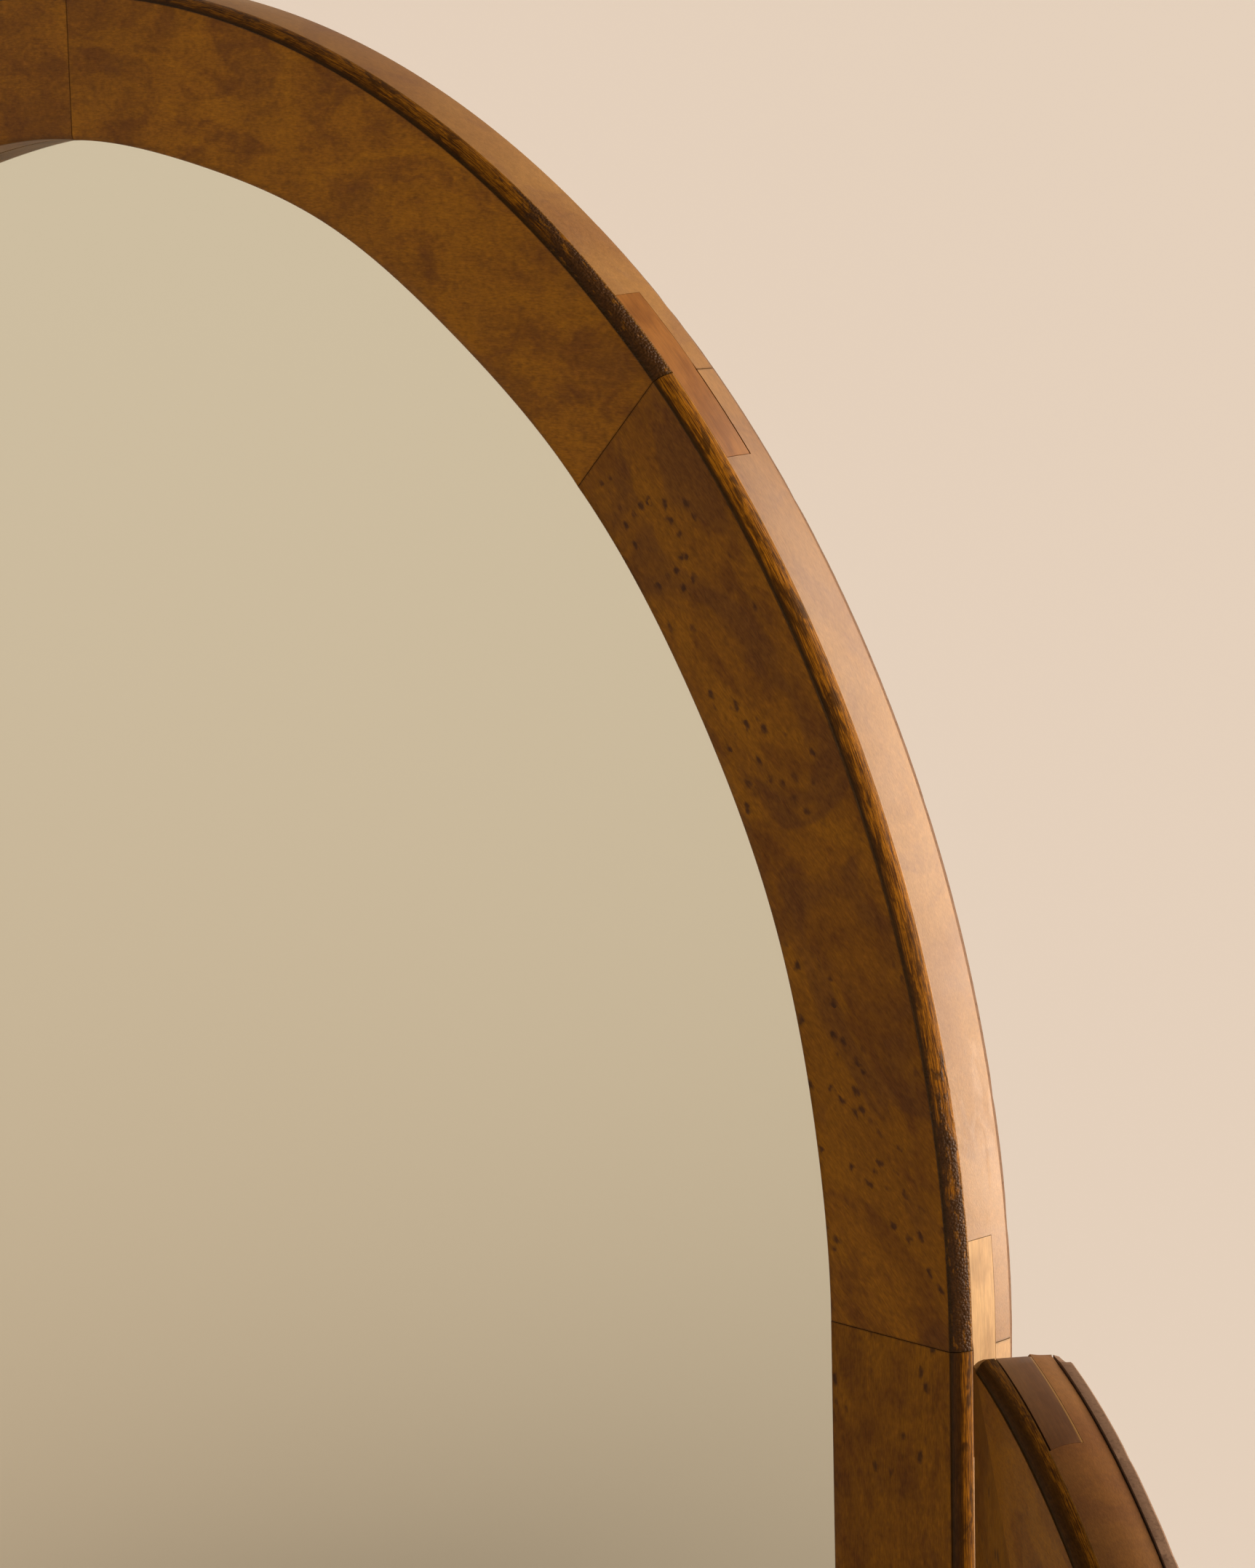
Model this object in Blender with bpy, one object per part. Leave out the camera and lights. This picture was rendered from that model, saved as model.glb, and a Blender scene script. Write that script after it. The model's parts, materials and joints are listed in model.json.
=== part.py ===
"""Three-fold dressing mirror: an arched centre panel and two half-arch wings on butt hinges.

Every panel is a birch frame of sawn segments, joined by loose keys, around a plate of mirror
glass that lies in a rebate and is closed behind by a thin board.  Metres, +Z up, the front
faces -Y, and the origin is under the middle of the centre panel.
"""
import math

import bmesh
import bpy
from mathutils import Vector

# Driving dimensions of the frames
OPENING_R = 0.280          # inner radius of every arch
MEMBER = 0.0425            # width of every frame member
THICK = 0.0189             # thickness of the frame stock
BEAD_W = 0.0031            # rounded front edge, measured across the member
BEAD_D = 0.0049            # rounded front edge, measured from front to back
BACK_ROUND = 0.0012        # small round on the back edge
REBATE_W = 0.0080          # rebate for the glass, across the member
LIP = 0.0128               # wood left in front of the glass
BOARD = 0.0029             # back board
BOARD_INSET = 0.0015       # the centre's back board stops short of the frame's edge
SPRING_Z = 0.540           # where the centre arch leaves its stiles
WING_RISE = 0.0014         # the wings' peaks stand this far above the centre's spring line
FELT = 0.0020              # felt under the bottom rails
FELT_HALF = 0.0070         # half the width of the felt strips
FELT_SHORT = 0.0120        # the felt stops this far from a panel's edges
GAP = 0.0003               # clearance between pieces that touch
GLASS_LOOSE = 3 * GAP      # a wing's glass is cut this much short on its arc, to clear the mitre
MITRE_GAP = 0.7 * GAP      # the same clearance, measured along an edge of a mitred end
TOOL_REACH = 0.0040        # how far a cutting solid runs on into the open
ARC_STEP = math.radians(3.75)

# Loose keys across the joints
KEY_FRONT = 0.0051         # front of a key, behind the front face
KEY_THICK = 0.0080
KEY_HALF = 0.0265          # how far a key runs on each side of its joint
KEY_DEEP = 0.0240          # how deep a key goes into the member
CORNER_KEY = 0.0540        # leg of a key at a mitred corner

# Hinges: five knuckles each, the leaves screwed on the edges of the stiles
HINGE_H = 0.0500
HINGE_W = 0.0160           # from the pin's axis to the end of a leaf
LEAF = 0.0012
KNUCKLE_R = 0.0030
KNUCKLE_CLEAR = 0.0006     # room round the knuckles, and pin showing at each end
KNUCKLES = 5
PIN_R = 0.0014
PANEL_GAP = 0.0062         # space between two panels that stand flat
AXIS_FORWARD = 0.0010      # the pin stands this far in front of the frames' faces
UPPER_HINGE_DROP = 0.115   # upper hinge's middle under the wing's peak
LOWER_HINGE_Z = 0.095
FOLD = math.radians(35.0)  # the wings stand this far forward at rest

# Worked out from the driving dimensions
OUTER_R = OPENING_R + MEMBER
FRONT_Y = -THICK / 2
FOOT_Z = FELT + GAP
WING_SPRING_Z = SPRING_Z + WING_RISE - OUTER_R
AXIS_X = OUTER_R + PANEL_GAP / 2
AXIS_Y = FRONT_Y - AXIS_FORWARD
WING_EDGE = PANEL_GAP / 2                  # the wing's hinged edge, from the pin's axis
WING_ARC_U = -PANEL_GAP / 2                # centre of the wing's arc, from the pin's axis
WING_FREE = WING_ARC_U + OUTER_R           # the wing's free edge, from the pin's axis
UPPER_HINGE_Z = SPRING_Z + WING_RISE - UPPER_HINGE_DROP


def clear_scene():
    for thing in list(bpy.data.objects):
        bpy.data.objects.remove(thing, do_unlink=True)


def make_material(name, colour, roughness, metallic=0.0):
    material = bpy.data.materials.new(name)
    material.use_nodes = True
    material.diffuse_color = (*colour, 1.0)
    shader = material.node_tree.nodes["Principled BSDF"]
    shader.inputs["Base Color"].default_value = (*colour, 1.0)
    shader.inputs["Roughness"].default_value = roughness
    shader.inputs["Metallic"].default_value = metallic
    return material


def add_object(name, mesh_builder, material, parent=None):
    """Make one named object out of a bmesh, with its faces turned outwards."""
    bmesh.ops.remove_doubles(mesh_builder, verts=mesh_builder.verts, dist=1e-6)
    bmesh.ops.recalc_face_normals(mesh_builder, faces=mesh_builder.faces)
    mesh = bpy.data.meshes.new(name)
    mesh_builder.to_mesh(mesh)
    mesh_builder.free()
    made = bpy.data.objects.new(name, mesh)
    if material is not None:
        mesh.materials.append(material)
    bpy.context.collection.objects.link(made)
    made.parent = parent
    return made


def skin_rings(rings):
    """Join closed rings of points, one after the other, and close both ends."""
    builder = bmesh.new()
    rows = [[builder.verts.new(point) for point in ring] for ring in rings]
    count = len(rows[0])
    for near, far in zip(rows, rows[1:]):
        for i in range(count):
            j = (i + 1) % count
            builder.faces.new((near[i], near[j], far[j], far[i]))
    builder.faces.new(rows[0])
    builder.faces.new(rows[-1])
    return builder


def plate(outline, near_y, far_y):
    """A flat plate: an outline in the panel's plane, from one depth to another."""
    rings = [[Vector((x, y, z)) for x, z in outline] for y in (near_y, far_y)]
    return skin_rings(rings)


def box(low, high):
    corners = [(low[0], low[2]), (high[0], low[2]), (high[0], high[2]), (low[0], high[2])]
    return plate(corners, low[1], high[1])


def add_boolean(target, tool, operation):
    modifier = target.modifiers.new(tool.name, "BOOLEAN")
    modifier.operation = operation
    modifier.solver = "EXACT"
    modifier.object = tool


def add_tool(name, mesh_builder, parent):
    """A hidden solid that only cuts or extends other pieces."""
    tool = add_object(name, mesh_builder, None, parent)
    tool.hide_render = True
    tool.display_type = "WIRE"
    return tool


class Panel:
    """Where one panel's drawing lies: plane coordinates (u, z), and depth behind its front."""

    def __init__(self, name, side, front_y, parent):
        self.name = name
        self.side = side
        self.front_y = front_y
        self.parent = parent

    def place(self, u, depth, z):
        return Vector((self.side * u, self.front_y + depth, z))

    def outline(self, points):
        return [(self.side * u, z) for u, z in points]

    def add(self, name, mesh_builder, material):
        return add_object(name, mesh_builder, material, self.parent)


def member_section(beaded=True):
    """Section of a frame member: (distance from the inner edge, depth behind the front)."""
    bead = []
    for step in range(4 if beaded else 0):
        turn = math.radians(90) * step / 3
        across = MEMBER - BEAD_W + BEAD_W * math.sin(turn)
        bead.append((across, BEAD_D * (1 - math.cos(turn))))
    if not beaded:
        bead.append((MEMBER, 0.0))
    back = [(MEMBER, THICK - BACK_ROUND), (MEMBER - BACK_ROUND, THICK)]
    rebate = [(REBATE_W, THICK), (REBATE_W, LIP), (0.0, LIP)]
    return [(0.0, 0.0)] + bead + back + rebate


def straight_member(panel, name, start, end, material, beaded=True):
    """A stile or rail: start and end give (u, z) for a distance from the inner edge."""
    rings = []
    for stop in (start, end):
        rings.append([panel.place(stop(across)[0], depth, stop(across)[1])
                      for across, depth in member_section(beaded)])
    return panel.add(name, skin_rings(rings), material)


def on_arc(centre, radius, angle):
    return (centre[0] + radius * math.cos(angle), centre[1] + radius * math.sin(angle))


def arc_member(panel, name, centre, first, last, material):
    """A sawn arch segment: first and last give the angle of each end at a radius."""
    low, high = first(OUTER_R), last(OPENING_R)
    steps = round((high - low) / ARC_STEP)
    stops = [first]
    for step in range(1, steps):
        stops.append(lambda radius, angle=low + (high - low) * step / steps: angle)
    stops.append(last)
    rings = []
    for stop in stops:
        ring = []
        for across, depth in member_section():
            radius = OPENING_R + across
            u, z = on_arc(centre, radius, stop(radius))
            ring.append(panel.place(u, depth, z))
        rings.append(ring)
    return panel.add(name, skin_rings(rings), material)


def radial_cut(degrees, toward):
    """An arch segment's end on a radial joint, half the clearance away from it."""
    return lambda radius: math.radians(degrees) + toward * GAP / 2 / radius


def peak_mitre(centre, corner, inside):
    """The arc's end on the mitre at a wing's peak, from the outer corner to the inner one."""
    start = Vector((inside[0] - centre[0], inside[1] - centre[1] + MITRE_GAP))
    run = Vector((corner[0] - inside[0], corner[1] - inside[1]))

    def angle(radius):
        half = start.dot(run)
        reach = (math.sqrt(half ** 2 - run.length_squared * (start.length_squared - radius ** 2))
                 - half) / run.length_squared
        point = start + run * reach
        return math.atan2(point.y, point.x)
    return angle


def joint_key(panel, name, edge, inward, members, material):
    """A key across a butt joint; edge gives the outer edge's point at a signed distance."""
    def outline(grow):
        half = KEY_HALF + grow
        marks = [half * step / 4 for step in range(-4, 5)]
        outer = [edge(mark) for mark in marks]
        deep = KEY_DEEP + grow
        if grow:
            outer = [(u - inward[0] * TOOL_REACH, z - inward[1] * TOOL_REACH) for u, z in outer]
            deep += TOOL_REACH
        ends = [(u + inward[0] * deep, z + inward[1] * deep) for u, z in (outer[-1], outer[0])]
        return panel.outline(outer + ends)
    fit_key(panel, name, outline, members, material)


def corner_key(panel, name, corner, legs, members, material):
    """A three-cornered key across a mitre; each leg gives the edge's point at a distance."""
    def outline(grow):
        length = CORNER_KEY + 2 * grow
        first = [legs[0](length * step / 4) for step in range(4, 0, -1)]
        second = [legs[1](length * step / 4) for step in range(1, 5)]
        points = first + [corner] + second
        if grow:
            middle = [(a + b) / 2 for a, b in zip(first[0], second[-1])]
            away = Vector((corner[0] - middle[0], corner[1] - middle[1])).normalized()
            away *= TOOL_REACH
            points = [first[0]] + [(u + away.x, z + away.y) for u, z in points] + [second[-1]]
        return panel.outline(points)
    fit_key(panel, name, outline, members, material)


def fit_key(panel, name, outline, members, material):
    """Make a key, and cut its slot in the members that it joins."""
    near = panel.front_y + KEY_FRONT
    far = near + KEY_THICK
    panel.add(name, plate(outline(0.0), near, far), material)
    slot = add_tool(name + "_slot", plate(outline(GAP), near - GAP, far + GAP), panel.parent)
    for member in members:
        add_boolean(member, slot, "DIFFERENCE")


def arch_outline(centre, radius, first, last, rest):
    """An outline with an arc from one angle to another, closed by the points in rest."""
    steps = round((last - first) / ARC_STEP)
    arc = [on_arc(centre, radius, first + (last - first) * step / steps)
           for step in range(steps + 1)]
    return arc + rest


def glass_depths(panel):
    return panel.front_y + LIP + GAP, panel.front_y + THICK - GAP


def board_depths(panel):
    return panel.front_y + THICK + GAP, panel.front_y + THICK + GAP + BOARD


def build_centre(materials):
    """The centre panel: four arch segments, two stiles and a rail around one plate."""
    panel = Panel("centre", 1, FRONT_Y, None)
    birch, key_wood = materials["birch"], materials["key"]
    centre = (0.0, SPRING_Z)
    names = ["centre_arch_right_low", "centre_arch_right_high",
             "centre_arch_left_high", "centre_arch_left_low"]
    arcs = []
    for number, name in enumerate(names):
        first = radial_cut(45 * number, 1)
        last = radial_cut(45 * (number + 1), -1)
        arcs.append(arc_member(panel, name, centre, first, last, birch))

    def stile(name, side):
        def foot(across):
            return side * (OPENING_R + across), FOOT_Z + MEMBER - across + MITRE_GAP
        def head(across):
            return side * (OPENING_R + across), SPRING_Z - GAP / 2
        return straight_member(panel, name, foot, head, birch)

    stiles = [stile("centre_stile_right", 1), stile("centre_stile_left", -1)]
    rail = straight_member(
        panel, "centre_bottom_rail",
        lambda across: (-(OPENING_R + across) + MITRE_GAP, FOOT_Z + MEMBER - across),
        lambda across: (OPENING_R + across - MITRE_GAP, FOOT_Z + MEMBER - across), birch)

    for side, word in ((1, "right"), (-1, "left")):
        stile_piece = stiles[0] if side > 0 else stiles[1]
        low = arcs[0] if side > 0 else arcs[3]
        high = arcs[1] if side > 0 else arcs[2]

        def spring_edge(mark, side=side):
            if mark < 0:
                return side * OUTER_R, SPRING_Z + mark
            u, z = on_arc(centre, OUTER_R, mark / OUTER_R)
            return side * u, z

        def haunch_edge(mark, side=side):
            u, z = on_arc(centre, OUTER_R, math.radians(45) + mark / OUTER_R)
            return side * u, z

        joint_key(panel, f"centre_key_spring_{word}", spring_edge, (-side, 0.0),
                  [stile_piece, low], key_wood)
        slope = math.cos(math.radians(45))
        joint_key(panel, f"centre_key_haunch_{word}", haunch_edge, (-side * slope, -slope),
                  [low, high], key_wood)
        corner_key(panel, f"centre_key_foot_{word}", (side * OUTER_R, FOOT_Z),
                   [lambda run, side=side: (side * OUTER_R, FOOT_Z + run),
                    lambda run, side=side: (side * (OUTER_R - run), FOOT_Z)],
                   [stile_piece, rail], key_wood)

    joint_key(panel, "centre_key_crown",
              lambda mark: on_arc(centre, OUTER_R, math.radians(90) + mark / OUTER_R),
              (0.0, -1.0), [arcs[1], arcs[2]], key_wood)

    edge = OPENING_R + REBATE_W - GAP
    floor = FOOT_Z + MEMBER - REBATE_W + GAP
    outline = arch_outline(centre, edge, 0.0, math.pi, [(-edge, floor), (edge, floor)])
    panel.add("centre_glass", plate(outline, *glass_depths(panel)), materials["glass"])

    edge = OUTER_R - BOARD_INSET
    floor = FOOT_Z + BOARD_INSET
    outline = arch_outline(centre, edge, 0.0, math.pi, [(-edge, floor), (edge, floor)])
    panel.add("centre_back_board", plate(outline, *board_depths(panel)), materials["board"])

    felt = box((-OUTER_R + FELT_SHORT, -FELT_HALF, 0.0),
               (OUTER_R - FELT_SHORT, FELT_HALF, FELT))
    panel.add("centre_felt_strip", felt, materials["felt"])


def build_wing(word, side, axis, materials):
    """One wing, drawn flat from the pin's axis outwards; the axis empty folds it forward."""
    panel = Panel(word, side, AXIS_FORWARD, axis)
    birch, key_wood = materials["birch"], materials["key"]
    centre = (WING_ARC_U, WING_SPRING_Z)
    inner_u = WING_EDGE + MEMBER
    peak = (WING_EDGE, WING_SPRING_Z + math.sqrt(OUTER_R ** 2 - (WING_EDGE - WING_ARC_U) ** 2))
    throat = (inner_u, WING_SPRING_Z + math.sqrt(OPENING_R ** 2 - (inner_u - WING_ARC_U) ** 2))

    def hinge_foot(across):
        return inner_u - across, FOOT_Z + MEMBER - across + MITRE_GAP

    def hinge_head(across):
        share = across / MEMBER
        return inner_u - across, throat[1] + (peak[1] - throat[1]) * share - MITRE_GAP

    def free_foot(across):
        return WING_FREE - MEMBER + across, FOOT_Z + MEMBER - across + MITRE_GAP

    def free_head(across):
        return WING_FREE - MEMBER + across, WING_SPRING_Z - GAP / 2

    def rail_near(across):
        return inner_u - across + MITRE_GAP, FOOT_Z + MEMBER - across

    def rail_far(across):
        return WING_FREE - MEMBER + across - MITRE_GAP, FOOT_Z + MEMBER - across

    hinge_stile = straight_member(panel, f"{word}_hinge_stile", hinge_foot, hinge_head, birch,
                                  beaded=False)
    free_stile = straight_member(panel, f"{word}_free_stile", free_foot, free_head, birch)
    rail = straight_member(panel, f"{word}_bottom_rail", rail_near, rail_far, birch)
    low = arc_member(panel, f"{word}_arch_low", centre,
                     radial_cut(0, 1), radial_cut(45, -1), birch)
    high = arc_member(panel, f"{word}_arch_high", centre,
                      radial_cut(45, 1), peak_mitre(centre, peak, throat), birch)

    def spring_edge(mark):
        if mark < 0:
            return WING_FREE, WING_SPRING_Z + mark
        return on_arc(centre, OUTER_R, mark / OUTER_R)

    top = math.atan2(peak[1] - centre[1], peak[0] - centre[0])
    slope = math.cos(math.radians(45))
    joint_key(panel, f"{word}_key_spring", spring_edge, (-1.0, 0.0),
              [free_stile, low], key_wood)
    joint_key(panel, f"{word}_key_haunch",
              lambda mark: on_arc(centre, OUTER_R, math.radians(45) + mark / OUTER_R),
              (-slope, -slope), [low, high], key_wood)
    corner_key(panel, f"{word}_key_peak", peak,
               [lambda run: (WING_EDGE, peak[1] - run),
                lambda run: on_arc(centre, OUTER_R, top - run / OUTER_R)],
               [hinge_stile, high], key_wood)
    corner_key(panel, f"{word}_key_heel", (WING_EDGE, FOOT_Z),
               [lambda run: (WING_EDGE, FOOT_Z + run),
                lambda run: (WING_EDGE + run, FOOT_Z)],
               [hinge_stile, rail], key_wood)
    corner_key(panel, f"{word}_key_toe", (WING_FREE, FOOT_Z),
               [lambda run: (WING_FREE, FOOT_Z + run),
                lambda run: (WING_FREE - run, FOOT_Z)],
               [free_stile, rail], key_wood)

    floor = FOOT_Z + MEMBER - REBATE_W + GAP
    radius = OPENING_R + REBATE_W - GLASS_LOOSE
    near_u = inner_u - REBATE_W + GAP
    last = math.acos((near_u - WING_ARC_U) / radius)
    rest = [(near_u, floor), (WING_ARC_U + radius, floor)]
    outline = panel.outline(arch_outline(centre, radius, 0.0, last, rest))
    panel.add(f"{word}_glass", plate(outline, *glass_depths(panel)), materials["glass"])

    last = math.acos((WING_EDGE - WING_ARC_U) / OUTER_R)
    rest = [(WING_EDGE, FOOT_Z), (WING_FREE, FOOT_Z)]
    outline = panel.outline(arch_outline(centre, OUTER_R, 0.0, last, rest))
    panel.add(f"{word}_back_board", plate(outline, *board_depths(panel)), materials["board"])

    middle = panel.front_y + THICK / 2
    ends = sorted((side * (WING_EDGE + FELT_SHORT), side * (WING_FREE - FELT_SHORT)))
    felt = box((ends[0], middle - FELT_HALF, 0.0), (ends[1], middle + FELT_HALF, FELT))
    panel.add(f"{word}_felt_strip", felt, materials["felt"])


def cylinder_along_z(radius, low, high, sides=20):
    rings = []
    for z in (low, high):
        rings.append([Vector((radius * math.cos(math.tau * i / sides),
                              radius * math.sin(math.tau * i / sides), z))
                      for i in range(sides)])
    return skin_rings(rings)


def hinge_leaf(name, toward, height, knuckles, parent, material):
    """One leaf: a plate with its own knuckles rolled round the pin's axis.

    The leaf is drawn from the pin's axis; toward is +1 or -1 along X, to the panel's edge.
    """
    edge = PANEL_GAP / 2 - GAP / 2
    near, far = sorted((toward * (edge - LEAF), toward * edge))
    low = height - HINGE_H / 2
    clear = KNUCKLE_R + KNUCKLE_CLEAR
    leaf = add_object(name, box((near, clear, low), (far, HINGE_W, low + HINGE_H)),
                      material, parent)
    pitch = HINGE_H / KNUCKLES
    for number in knuckles:
        bottom = low + pitch * number + GAP / 2
        top = low + pitch * (number + 1) - GAP / 2
        tab = add_tool(f"{name}_tab_{number}", box((near, 0.0, bottom), (far, clear + GAP, top)),
                       parent)
        barrel = add_tool(f"{name}_barrel_{number}",
                          cylinder_along_z(KNUCKLE_R, bottom, top), parent)
        add_boolean(leaf, tab, "UNION")
        add_boolean(leaf, barrel, "UNION")
    bore = add_tool(f"{name}_bore", cylinder_along_z(PIN_R + GAP, low - KNUCKLE_CLEAR,
                                                     low + HINGE_H + KNUCKLE_CLEAR), parent)
    add_boolean(leaf, bore, "DIFFERENCE")
    return leaf


def build_hinges(word, side, fixed_axis, wing_axis, brass):
    for level, height in (("upper", UPPER_HINGE_Z), ("lower", LOWER_HINGE_Z)):
        name = f"{word}_{level}_hinge"
        hinge_leaf(f"{name}_fixed_leaf", -side, height, (0, 2, 4), fixed_axis, brass)
        hinge_leaf(f"{name}_wing_leaf", side, height, (1, 3), wing_axis, brass)
        pin_half = HINGE_H / 2 + KNUCKLE_CLEAR
        pin = cylinder_along_z(PIN_R, height - pin_half, height + pin_half)
        add_object(f"{name}_pin", pin, brass, fixed_axis)


def add_axis(name, side, fold):
    """An empty on a pin's axis, turned by the wing's fold."""
    axis = bpy.data.objects.new(name, None)
    axis.location = (side * AXIS_X, AXIS_Y, 0.0)
    axis.rotation_euler = (0.0, 0.0, -side * fold)
    bpy.context.collection.objects.link(axis)
    return axis


clear_scene()
finishes = {
    "birch": make_material("stained_birch", (0.17, 0.062, 0.012), 0.34),
    "key": make_material("birch_key", (0.24, 0.10, 0.028), 0.36),
    "glass": make_material("mirror_glass", (0.80, 0.79, 0.74), 0.03, 1.0),
    "board": make_material("back_board", (0.16, 0.075, 0.035), 0.75),
    "felt": make_material("felt", (0.035, 0.045, 0.030), 0.95),
    "brass": make_material("aged_brass", (0.46, 0.31, 0.12), 0.38, 1.0),
}
build_centre(finishes)
for label, sign in (("right", 1), ("left", -1)):
    still = add_axis(f"{label}_pin_axis", sign, 0.0)
    folding = add_axis(f"{label}_fold_axis", sign, FOLD)
    build_wing(f"{label}_wing", sign, folding, finishes)
    build_hinges(label, sign, still, folding, finishes["brass"])
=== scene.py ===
import json
import math
import random

import bmesh
import bpy
import numpy as np
from mathutils import Matrix, Vector


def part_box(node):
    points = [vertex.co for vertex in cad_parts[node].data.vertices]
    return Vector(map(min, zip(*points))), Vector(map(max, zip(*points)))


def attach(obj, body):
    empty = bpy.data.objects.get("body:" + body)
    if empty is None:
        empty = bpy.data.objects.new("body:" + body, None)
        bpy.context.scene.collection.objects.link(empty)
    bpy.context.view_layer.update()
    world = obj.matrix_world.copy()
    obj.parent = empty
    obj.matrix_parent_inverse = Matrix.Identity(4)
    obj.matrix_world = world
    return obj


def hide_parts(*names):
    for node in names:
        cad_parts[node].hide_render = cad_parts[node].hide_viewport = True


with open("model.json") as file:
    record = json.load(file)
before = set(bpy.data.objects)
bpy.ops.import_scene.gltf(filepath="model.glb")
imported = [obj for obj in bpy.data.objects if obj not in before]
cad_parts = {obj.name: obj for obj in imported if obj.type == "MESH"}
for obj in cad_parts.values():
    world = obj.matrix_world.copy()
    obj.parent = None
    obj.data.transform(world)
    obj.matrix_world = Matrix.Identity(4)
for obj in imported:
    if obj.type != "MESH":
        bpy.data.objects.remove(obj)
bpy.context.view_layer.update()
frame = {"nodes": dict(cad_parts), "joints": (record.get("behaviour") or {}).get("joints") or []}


# ------------------------------------------------------------
# The centre panel's frame: four segments sawn to a 45 degree arc, two stiles and
# a bottom rail, all of planed birch with one section: a flat face, a small quirk,
# a rounded front edge and a crowned side.  Stained brown and varnished satin.

def plug(tree, node, inputs):
    """Link or set a node's sockets; inputs gives an output or a value for each."""
    for socket, value in inputs.items():
        if isinstance(value, bpy.types.NodeSocket):
            tree.links.new(value, node.inputs[socket])
        else:
            node.inputs[socket].default_value = value


def add_node(tree, kind, inputs=None, **settings):
    made = tree.nodes.new(kind)
    for key, value in settings.items():
        setattr(made, key, value)
    plug(tree, made, inputs or {})
    return made


def new_material(name):
    material = bpy.data.materials.new(name)
    material.use_nodes = True
    tree = material.node_tree
    return material, tree, tree.nodes["Principled BSDF"]


def sums(tree, operation, first, second=0.0, third=0.0):
    return add_node(tree, "ShaderNodeMath", {0: first, 1: second, 2: third},
                    operation=operation).outputs[0]


def times(tree, first, second):
    return sums(tree, "MULTIPLY", first, second)


def scaled(tree, value, factor, start):
    """The value times a factor, plus a start."""
    return sums(tree, "MULTIPLY_ADD", value, factor, start)


def less(tree, first, second):
    return sums(tree, "SUBTRACT", first, second)


def ramp(tree, value, low, high, curve="SMOOTHSTEP"):
    """0 below low, 1 above high."""
    made = add_node(tree, "ShaderNodeMapRange", {0: value, 1: low, 2: high},
                    interpolation_type=curve)
    return made.outputs[0]


def blend_colour(tree, share, first, second, how="MIX"):
    """Two colours mixed; each is an output or its red, green and blue."""
    first, second = (value if isinstance(value, bpy.types.NodeSocket) else (*value, 1.0)
                     for value in (first, second))
    made = add_node(tree, "ShaderNodeMix", {0: share, 6: first, 7: second},
                    data_type="RGBA", blend_type=how)
    return made.outputs[2]


def toned(tree, colour, tone):
    """A colour made darker or lighter by one number."""
    grey = add_node(tree, "ShaderNodeCombineXYZ", {0: tone, 1: tone, 2: tone})
    return blend_colour(tree, 1.0, colour, grey.outputs[0], "MULTIPLY")


def kept_vector(tree, name):
    """A vector kept with the mesh's points under this name."""
    return add_node(tree, "ShaderNodeAttribute", attribute_name=name).outputs["Vector"]


def own_place(tree):
    return add_node(tree, "ShaderNodeTexCoord").outputs["Object"]


def split(tree, vector):
    return add_node(tree, "ShaderNodeSeparateXYZ", {0: vector}).outputs


def stretched(tree, vector, scale):
    made = add_node(tree, "ShaderNodeVectorMath", {0: vector, 1: scale}, operation="MULTIPLY")
    return made.outputs[0]


def noise(tree, vector, scale, detail=2.0, rough=0.5, distort=0.0):
    """Noise with its own number of repeats to the metre along each axis of the vector."""
    made = add_node(tree, "ShaderNodeTexNoise",
                    {"Vector": stretched(tree, vector, scale), "Scale": 1.0, "Detail": detail,
                     "Roughness": rough, "Distortion": distort})
    return made.outputs["Fac"]


def relief(tree, height):
    """Fine relief, its height in metres."""
    made = add_node(tree, "ShaderNodeBump", {"Strength": 1.0, "Distance": 1.0, "Height": height})
    return made.outputs[0]


# the side starts this far round the skin from the quirk
side_from = 0.0060


def face_flecks(tree, grain, clean_board, cluster):
    """Pith flecks: dark dashes in clusters, fewer on the clean boards."""
    wander = add_node(tree, "ShaderNodeTexNoise",
                      {"Vector": stretched(tree, grain, (330, 480, 480)), "Scale": 1.0,
                       "Detail": 2.0})
    nudged = add_node(tree, "ShaderNodeVectorMath",
                      {0: wander.outputs["Color"], 1: (0.0036, 0.0026, 0.0026), 2: grain},
                      operation="MULTIPLY_ADD")
    cells = add_node(tree, "ShaderNodeTexVoronoi",
                     {"Vector": stretched(tree, nudged.outputs[0], (215, 300, 300)), "Scale": 1.0,
                      "Randomness": 1.0})
    fleck = less(tree, 1.0, ramp(tree, cells.outputs["Distance"], 0.12, 0.42))
    chosen = split(tree, cells.outputs["Color"])[0]
    fleck = times(tree, fleck, ramp(tree, chosen, 0.40, 0.52))
    fleck = times(tree, fleck, cluster)
    return times(tree, fleck, scaled(tree, clean_board, -0.80, 1.0))


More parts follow.
